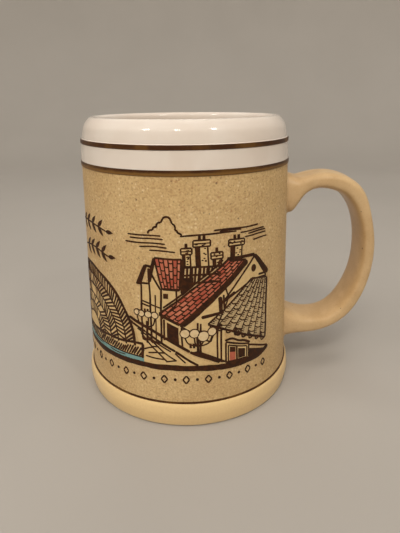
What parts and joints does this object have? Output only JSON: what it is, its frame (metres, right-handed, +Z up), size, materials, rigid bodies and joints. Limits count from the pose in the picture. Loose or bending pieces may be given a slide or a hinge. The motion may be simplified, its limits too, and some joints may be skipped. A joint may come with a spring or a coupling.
{
  "type": "ceramic mug",
  "caption": "Tapered stoneware mug with a bulged foot, rounded white rim, brown lines, printed townscape band and an ear-shaped strap handle.",
  "frame": {"origin": "centre of the foot ring, on the cup's axis, in the plane that the mug stands on", "axes": "+Z up the cup's axis towards the rim, +X from the axis out through the handle, +Y completes the frame; the printed scene is centred on the -Y, -X side"},
  "size_m": [0.1333, 0.0964, 0.1194],
  "materials": {
    "speckled_stoneware": "satin",
    "handle_stoneware": "satin",
    "joining_slip": "satin",
    "white_glaze": "gloss",
    "brown_line": "gloss",
    "print_ink": "satin"
  },
  "bodies": {
    "root": {"body": "speckled_stoneware", "handle": "handle_stoneware", "upper_slip_joint": "joining_slip", "lower_slip_joint": "joining_slip", "white_glaze": "white_glaze", "upper_brown_band": "brown_line", "lower_brown_band": "brown_line", "foot_line": "brown_line", "transfer_print": "print_ink"}
  },
  "joints": []
}
